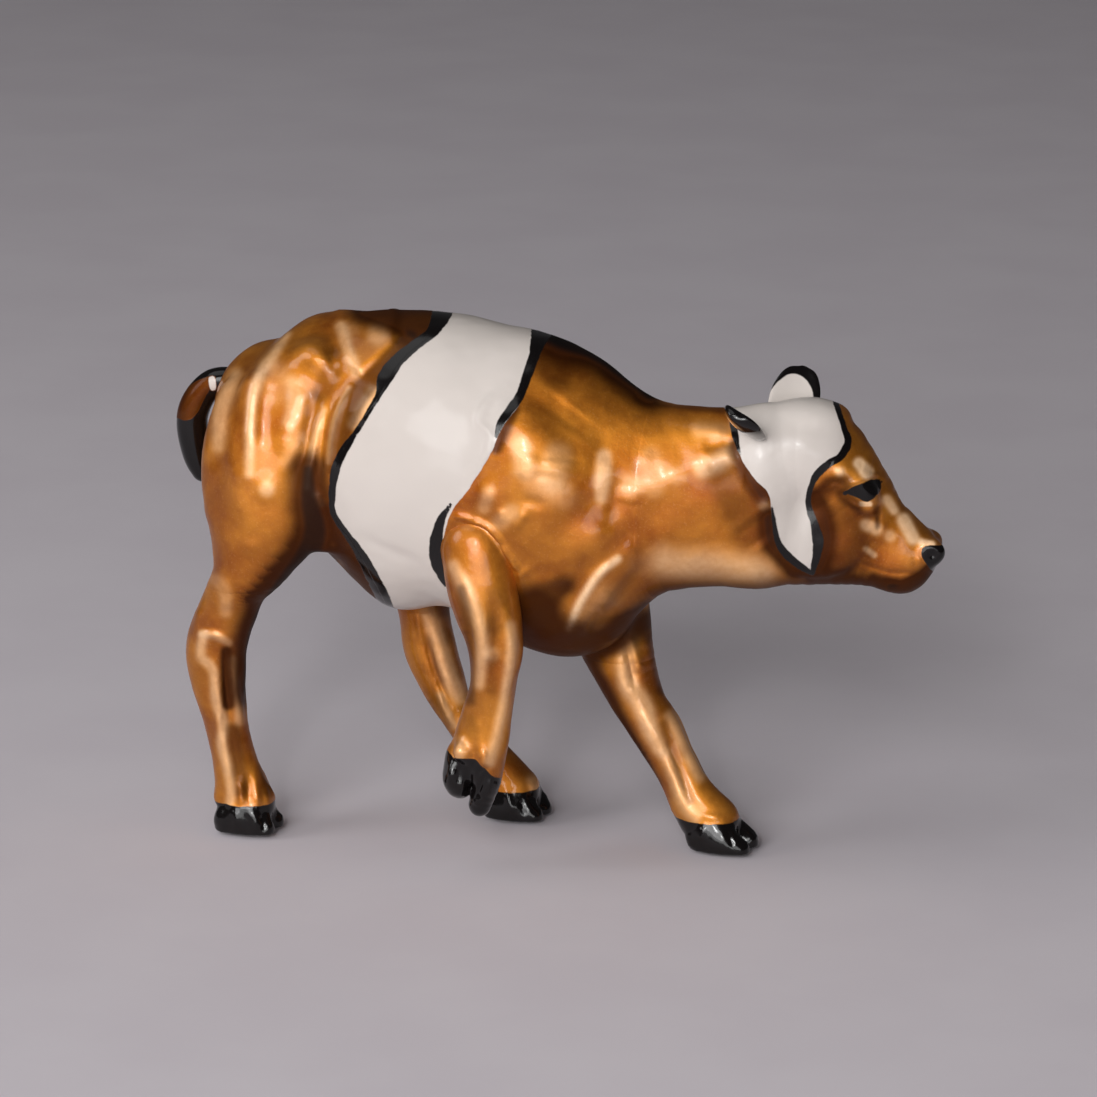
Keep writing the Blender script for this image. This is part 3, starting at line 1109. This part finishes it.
class StageSettings(bpy.types.PropertyGroup):
    floor_colour: FloatVectorProperty(name="Floor", description="Colour of the plain floor", subtype="COLOR",
                                      default=(0.64, 0.59, 0.63))
    key_power: FloatProperty(name="Key light", description="Power of the wide soft light near the camera",
                             default=3.7, min=0.0, unit="POWER")
    low_power: FloatProperty(name="Low light",
                             description="Power of the wide soft light just above the floor",
                             default=1.5, min=0.0, unit="POWER")
    side_power: FloatProperty(name="Side light", description="Power of the soft light from the left",
                              default=1.2, min=0.0, unit="POWER")
    top_power: FloatProperty(name="Top light", description="Power of the soft light overhead", default=0.8,
                             min=0.0, unit="POWER")
    spark_power: FloatProperty(name="Spark light",
                               description="Power of the small light that makes crisp glints",
                               default=0.6, min=0.0, unit="POWER")
    room_light: FloatProperty(name="Room light", description="Strength of the even light all round",
                              default=0.05,
                              min=0.0)


def paint_of():
    """The paint of all castings, made once."""
    known = bpy.data.materials.get("painted_casting")
    return known or enamel_paint(bpy.context.scene.calf_figure)


class CALF_OT_torso(bpy.types.Operator):
    """Trunk with the stubs of three legs: belt, outlines, muscles and folds"""
    bl_idname = "calf.torso"
    bl_label = "Torso"

    # How far the white starts outside the belt's outline, in pixels, so that the black lines cover its edge
    UNDER_LINES = 1.5
    # How far from the far thigh the white, the lines and the black edge round it lie, in millimetres
    BELT_GAP, LINE_GAP, EDGE_AT, EDGE_HALF = 0.9, 0.5, 0.75, 0.3

    def execute(self, context):
        settings = context.scene.calf_figure
        cell = settings.fineness
        surface = skin(ended(trunk_with_legs, torso_past), (-31, -11.5, 15.4), (12, 11.5, 47.5), cell)
        cast = Casting(surface, cell, TORSO_MIRROR, torso_past)
        trunk = TRUNK(cast.points)
        cast.centre = np.tile(cast.centre, (len(trunk), 1))
        on_trunk = np.ones(len(trunk))
        for name, form in (("left_hind_leg", LEFT_HIND), ("left_foreleg", LEFT_FORE)):
            inside = form(cast.points) - trunk
            cast.centre[inside < 0] = LEG_MIDDLES[name]
            on_trunk = np.minimum(on_trunk, soft_step(-0.5, 1.0, inside))
        cast.relax(12, soft_step(0.2, 2.5, -cast.beyond))
        cast.place()
        facet = 0.30 * (1 - soft_step(-7, 4, field_distance(cast.pixels, HIP_FACET, 1)))
        height = on_trunk * (added(cast.pixels, BODY_RELIEF + HEAD_RELIEF) + facet)
        height += added(cast.pixels, STUB_RELIEF) + beaded(cast)
        cast.raise_by(settings.relief * (height * cast.facing + unevenness(cast)))
        cast.place()
        crease = cast.hollowness(30)
        far_side = cast.points[:, 1] > FAR_SIDE_FROM
        thigh = LEFT_HIND(cast.points)
        belt = field_distance(cast.pixels, BELT) * MM_PER_PIXEL
        white = belt - self.UNDER_LINES * MM_PER_PIXEL
        white = np.where(far_side, np.maximum(white, self.BELT_GAP - thigh), white)
        lines = np.min([stroke_distance(cast.pixels, rows) for rows in BELT_LINES], axis=0) * MM_PER_PIXEL
        lines = np.where(far_side, np.maximum(lines, self.LINE_GAP - thigh), lines)
        round_thigh = np.abs(thigh - self.EDGE_AT) - self.EDGE_HALF
        edge = np.where(far_side, np.maximum(round_thigh, belt), UNPAINTED)
        glaze = np.maximum(on_trunk * shaded(cast, BODY_GLAZE + HEAD_GLAZE, crease),
                           shaded(cast, STUB_GLAZE, crease))
        glow = np.maximum(on_trunk * washed(cast.pixels, BODY_GLOW + HEAD_GLOW),
                          washed(cast.pixels, STUB_GLOW))
        glow = pearled(glow * cast.facing * cast.nearness, crease)
        cast.finished("torso_casting", "torso", "copper_paint", paint_of(), white=white,
                      black=np.minimum(lines, edge), glaze=glaze, glow=glow)
        return {"FINISHED"}


class CALF_OT_head(bpy.types.Operator):
    """Neck and head in one casting: face patch, eyes, nostrils, mouth and throat"""
    bl_idname = "calf.head"
    bl_label = "Head and neck"

    # How far the white starts outside the face patch, in pixels, so that the black lines cover its edge
    UNDER_LINES = 2.5

    def execute(self, context):
        settings = context.scene.calf_figure
        cell = settings.fineness * FINER
        surface = skin(ended(NECK_AND_HEAD, head_past), (9.0, -8, 21), (36, 12, 43), cell)
        cast = Casting(surface, cell, HEAD_MIRROR, head_past)
        height = added(cast.pixels, [*BODY_RELIEF, *HEAD_RELIEF, EYE_BULGE])
        cast.raise_by(settings.relief * (height * cast.facing + unevenness(cast)))
        cast.place()
        crease = cast.hollowness(80)
        white = (field_distance(cast.pixels, FACE_PATCH) - self.UNDER_LINES) * MM_PER_PIXEL
        lines = np.min([
            *(stroke_distance(cast.pixels, rows) for rows in FACE_LINES),
            field_distance(cast.pixels, EYE_MARK, 2), field_distance(cast.pixels, NOSTRIL, 2),
        ], axis=0) * MM_PER_PIXEL
        glaze = shaded(cast, BODY_GLAZE + HEAD_GLAZE + STUB_GLAZE, crease)
        glow = pearled(washed(cast.pixels, BODY_GLOW + HEAD_GLOW) * cast.facing, crease)
        cast.finished("head_casting", "head_and_neck", "copper_paint", paint_of(), white=white, black=lines,
                      glaze=glaze, glow=glow)
        return {"FINISHED"}


class CALF_OT_ears(bpy.types.Operator):
    """The two ears: the right one black, the left one white with a black tip"""
    bl_idname = "calf.ears"
    bl_label = "Ears"

    CELL = 0.1
    WHITE_OF_LEFT = [(773, 388), (781, 379), (790, 374), (800, 375), (808, 382), (813, 394), (812, 415),
                     (755, 415), (764, 402)]

    def execute(self, context):
        unmirrored = (HEAD_PLACE + 9 * HEAD_LEFT, HEAD_LEFT)
        right = Casting(leaf(RIGHT_EAR, HEAD_FORWARD - (0, 0, 0.8), 0.25), self.CELL, unmirrored)
        right.finished("right_ear_casting", "right_ear", "black_enamel", paint_of(),
                       black=np.full(len(right.points), -UNPAINTED))
        left = Casting(leaf(LEFT_EAR, HEAD_FORWARD, -0.3), self.CELL, unmirrored)
        tip = -field_distance(left.pixels, self.WHITE_OF_LEFT) * MM_PER_PIXEL
        left.finished("left_ear_casting", "left_ear", "white_enamel", paint_of(),
                      white=np.full(len(left.points), -UNPAINTED), black=tip)
        return {"FINISHED"}


class CALF_OT_legs(bpy.types.Operator):
    """The four legs with their cloven hooves, the right foreleg raised"""
    bl_idname = "calf.legs"
    bl_label = "Legs"

    RAISED_HOOF = [(430, 745), (448, 751), (454, 758), (475, 759), (480, 763), (489, 773), (494, 777),
                   (520, 781), (530, 850), (420, 850)]

    def execute(self, context):
        settings = context.scene.calf_figure
        cell = settings.fineness * FINER
        legs = {
            "right_hind_leg": (grounded(RIGHT_HIND), above(RIGHT_HIND_SEAM), (-32, -10.5, -1), (-19, -2, 25)),
            "left_hind_leg": (grounded(LEFT_HIND), above(LEFT_HIND_SEAM), (-18, 1.5, -1), (0, 10, 21)),
            "left_foreleg": (grounded(LEFT_FORE), above(LEFT_FORE_SEAM), (-1, 0, -1), (20, 9.5, 19)),
            "right_foreleg": (RIGHT_FORE, None, (-10, -13, 2), (4, -2.5, 34.5)),
        }
        for node, (form, past, low, high) in legs.items():
            surface = skin(ended(form, past) if past else form, low, high, cell)
            cast = Casting(surface, cell, (LEG_MIDDLES[node], (0, 1, 0)), past)
            if node == "right_foreleg":
                black = field_distance(cast.pixels, self.RAISED_HOOF, 1) * MM_PER_PIXEL
            else:
                black = cast.points[:, 2] - CORONET
            cast.relax(24, soft_step(0.3, 1.6, black) * soft_step(0.2, 2.5, -cast.beyond))
            height = added(cast.pixels, LEG_RELIEF[node]) * cast.facing + unevenness(cast)
            if node == "right_foreleg":
                height += beaded(cast) * cast.facing
            cast.raise_by(settings.relief * height * (cast.points[:, 2] > SOLE + 0.3))
            cast.place()
            crease = cast.hollowness(80)
            glaze = shaded(cast, LEG_GLAZE[node], crease)
            glow = pearled(washed(cast.pixels, LEG_GLOW[node]) * cast.facing, crease)
            cast.finished(node + "_casting", node, "copper_paint", paint_of(), black=black, glaze=glaze,
                          glow=glow)
        return {"FINISHED"}


class CALF_OT_tail(bpy.types.Operator):
    """The tail, swept along its own curve"""
    bl_idname = "calf.tail"
    bl_label = "Tail"

    PATH = [(-26.8, -0.2, 38.8), (-29.8, -0.6, 38.4), (-31.6, -0.8, 35.7), (-31.4, -0.8, 32.3),
            (-30.5, -0.8, 29.6)]
    THICKNESS = [(0.0, 2.0), (0.25, 2.4), (0.5, 2.7), (0.75, 2.55), (0.93, 1.8), (0.98, 1.1), (1.0, 0.25)]
    COPPER = [(214, 378), (204, 378), (186, 388), (168, 410), (190, 420), (206, 396)]
    WHITE_SPOT = [(212, 379, 7), (213, 388, 6)]
    GLAZE = 0.66

    def execute(self, context):
        line = bpy.data.curves.new("tail_line", "CURVE")
        line.dimensions = "3D"
        path = (spline(self.PATH, 8) + SHIFT) * MM
        strand = line.splines.new("POLY")
        strand.points.add(len(path) - 1)
        strand.points.foreach_set("co",
                                  np.column_stack((path, np.ones(len(path)))).astype(np.float32).ravel())
        holder = bpy.data.objects.new("tail_line", line)
        context.scene.collection.objects.link(holder)
        sweep = holder.modifiers.new("sweep", "NODES")
        sweep.node_group = swept_along(self.THICKNESS, paint_of())
        for item in sweep.node_group.interface.items_tree:
            if item.name == "Thickness":
                sweep[item.identifier] = 1.0
        shown = holder.evaluated_get(context.evaluated_depsgraph_get())
        mesh = bpy.data.meshes.new_from_object(shown)
        bpy.data.objects.remove(holder)
        piece = bpy.data.objects.new("tail_casting", mesh)
        context.scene.collection.objects.link(piece)
        places = np.empty(3 * len(mesh.vertices))
        mesh.vertices.foreach_get("co", places)
        places = places.reshape(-1, 3) / MM - SHIFT
        pixels = on_picture(places)
        copper = field_distance(pixels, self.COPPER) * MM_PER_PIXEL
        spot = stroke_distance(pixels, self.WHITE_SPOT) * MM_PER_PIXEL
        spot = np.where(places[:, 1] < 0, spot, UNPAINTED)
        black = np.minimum(-copper, UNPAINTED) + np.where(spot < 0, UNPAINTED, 0.0)
        painted(mesh, black=black, white=spot, glaze=np.full(len(places), self.GLAZE))
        mesh.shade_smooth()
        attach(piece, "root")
        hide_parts("tail")
        return {"FINISHED"}


def swept_along(thickness, material):
    """A node group that sweeps a round section along a curve, thick as the given (share, millimetres) say."""
    group = bpy.data.node_groups.new("swept_tail", "GeometryNodeTree")
    group.interface.new_socket("Geometry", in_out="INPUT", socket_type="NodeSocketGeometry")
    size = group.interface.new_socket("Thickness", in_out="INPUT", socket_type="NodeSocketFloat")
    size.default_value = 1.0
    group.interface.new_socket("Geometry", in_out="OUTPUT", socket_type="NodeSocketGeometry")
    new = group.nodes.new
    link = group.links.new
    inlet, outlet = new("NodeGroupInput"), new("NodeGroupOutput")
    even = new("GeometryNodeResampleCurve")
    even.inputs["Count"].default_value = 60
    share = new("GeometryNodeSplineParameter")
    profile = new("ShaderNodeFloatCurve")
    widest = max(value for _, value in thickness)
    curve = profile.mapping.curves[0]
    while len(curve.points) < len(thickness):
        curve.points.new(0.5, 0.5)
    for point, (place, value) in zip(curve.points, thickness):
        point.location = (place, value / widest)
    profile.mapping.update()
    scale = new("ShaderNodeMath")
    scale.operation = "MULTIPLY"
    ring = new("GeometryNodeCurvePrimitiveCircle")
    ring.inputs["Resolution"].default_value = 36
    ring.inputs["Radius"].default_value = widest / 2 * MM
    sweep = new("GeometryNodeCurveToMesh")
    sweep.inputs["Fill Caps"].default_value = True
    real, coat = new("GeometryNodeRealizeInstances"), new("GeometryNodeSetMaterial")
    coat.inputs["Material"].default_value = material
    link(inlet.outputs[0], even.inputs["Curve"])
    link(even.outputs[0], sweep.inputs["Curve"])
    link(ring.outputs[0], sweep.inputs["Profile Curve"])
    link(share.outputs["Factor"], profile.inputs["Value"])
    link(profile.outputs[0], scale.inputs[0])
    link(inlet.outputs[1], scale.inputs[1])
    link(scale.outputs[0], sweep.inputs["Scale"])
    link(sweep.outputs[0], real.inputs[0])
    link(real.outputs[0], coat.inputs["Geometry"])
    link(coat.outputs[0], outlet.inputs[0])
    return group


class CALF_OT_pins(bpy.types.Operator):
    """Steel for the pins inside the seams"""
    bl_idname = "calf.pins"
    bl_label = "Pins"

    def execute(self, context):
        wire = cut_wire()
        for name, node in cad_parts.items():
            if name.endswith("pin") or name.startswith("neck_pin"):
                for place in node.material_slots:
                    place.material = wire
        return {"FINISHED"}


class CALF_OT_stage(bpy.types.Operator):
    """Plain floor, soft lights and the camera"""
    bl_idname = "calf.stage"
    bl_label = "Stage"

    # Half the floor's side and the height that the lamps point at in metres, the room's colour, and the
    # width of the camera's sensor in millimetres
    FLOOR_HALF = 4.0
    LIT_HEIGHT = 0.025
    ROOM = (0.86, 0.84, 0.87, 1)
    SENSOR = 36.0

    def execute(self, context):
        settings = context.scene.calf_stage
        mesh = bpy.data.meshes.new("floor")
        half = self.FLOOR_HALF
        corners = [(-half, -half, 0), (half, -half, 0), (half, half, 0), (-half, half, 0)]
        mesh.from_pydata(corners, [], [(0, 1, 2, 3)])
        mesh.materials.append(stage_cloth(settings))
        floor = bpy.data.objects.new("floor", mesh)
        context.scene.collection.objects.link(floor)
        floor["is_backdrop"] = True
        # Each lamp's direction in degrees, its distance and size in metres, and its power
        for name, azimuth, elevation, away, wide, high, power in (
                ("key", 0, 25, 0.75, 0.62, 0.38, settings.key_power),
                ("low", 16, 8, 0.75, 0.90, 0.20, settings.low_power),
                ("side", -56, 26, 0.75, 0.35, 0.35, settings.side_power),
                ("spark", 10, 24, 0.75, 0.06, 0.10, settings.spark_power),
                ("top", -60, 66, 0.80, 0.60, 0.60, settings.top_power)):
            light = bpy.data.lights.new(name, "AREA")
            light.shape = "ELLIPSE"
            light.size, light.size_y = wide, high
            light.energy = power
            lamp = bpy.data.objects.new(name, light)
            turn, rise = math.radians(azimuth), math.radians(elevation)
            toward = Vector((math.sin(turn) * math.cos(rise), -math.cos(turn) * math.cos(rise),
                             math.sin(rise)))
            lamp.location = Vector((0, 0, self.LIT_HEIGHT)) + away * toward
            lamp.rotation_euler = (-toward).to_track_quat("-Z", "Y").to_euler()
            context.scene.collection.objects.link(lamp)
        world = bpy.data.worlds.new("room")
        world.use_nodes = True
        background = world.node_tree.nodes["Background"]
        background.inputs["Color"].default_value = self.ROOM
        background.inputs["Strength"].default_value = settings.room_light
        context.scene.world = world
        camera = bpy.data.cameras.new("camera")
        camera.sensor_width = self.SENSOR
        camera.lens = self.SENSOR * DISTANCE / (PICTURE * MM_PER_PIXEL)
        camera.clip_start, camera.clip_end = 0.01, 20.0
        eye = bpy.data.objects.new("camera", camera)
        eye.location = (EYE + SHIFT) * MM
        eye.rotation_euler = Vector(-TO_EYE).to_track_quat("-Z", "Y").to_euler()
        context.scene.collection.objects.link(eye)
        context.scene.camera = eye
        context.scene.view_settings.view_transform = "Standard"
        return {"FINISHED"}


PIECES = (CALF_OT_torso, CALF_OT_head, CALF_OT_ears, CALF_OT_legs, CALF_OT_tail, CALF_OT_pins, CALF_OT_stage)


class CALF_PT_panel(bpy.types.Panel):
    bl_label = "Calf"
    bl_idname = "CALF_PT_panel"
    bl_space_type = "VIEW_3D"
    bl_region_type = "UI"
    bl_category = "Calf"

    def draw(self, context):
        for settings in (context.scene.calf_figure, context.scene.calf_stage):
            for name in settings.__annotations__:
                self.layout.prop(settings, name)
        for piece in PIECES:
            self.layout.operator(piece.bl_idname)


CLASSES = (FigureSettings, StageSettings, *PIECES, CALF_PT_panel)


def register():
    for cls in CLASSES:
        bpy.utils.register_class(cls)
    bpy.types.Scene.calf_figure = PointerProperty(type=FigureSettings)
    bpy.types.Scene.calf_stage = PointerProperty(type=StageSettings)


def unregister():
    del bpy.types.Scene.calf_stage
    del bpy.types.Scene.calf_figure
    for cls in reversed(CLASSES):
        bpy.utils.unregister_class(cls)


def main():
    register()
    bpy.ops.calf.torso()
    bpy.ops.calf.head()
    bpy.ops.calf.ears()
    bpy.ops.calf.legs()
    bpy.ops.calf.tail()
    bpy.ops.calf.pins()
    bpy.ops.calf.stage()
    boxes = {"cad": CAD_BOX, "visual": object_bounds()}
    {name: [list(corner) for corner in box] for name, box in boxes.items()}


if __name__ == "__main__":
    main()
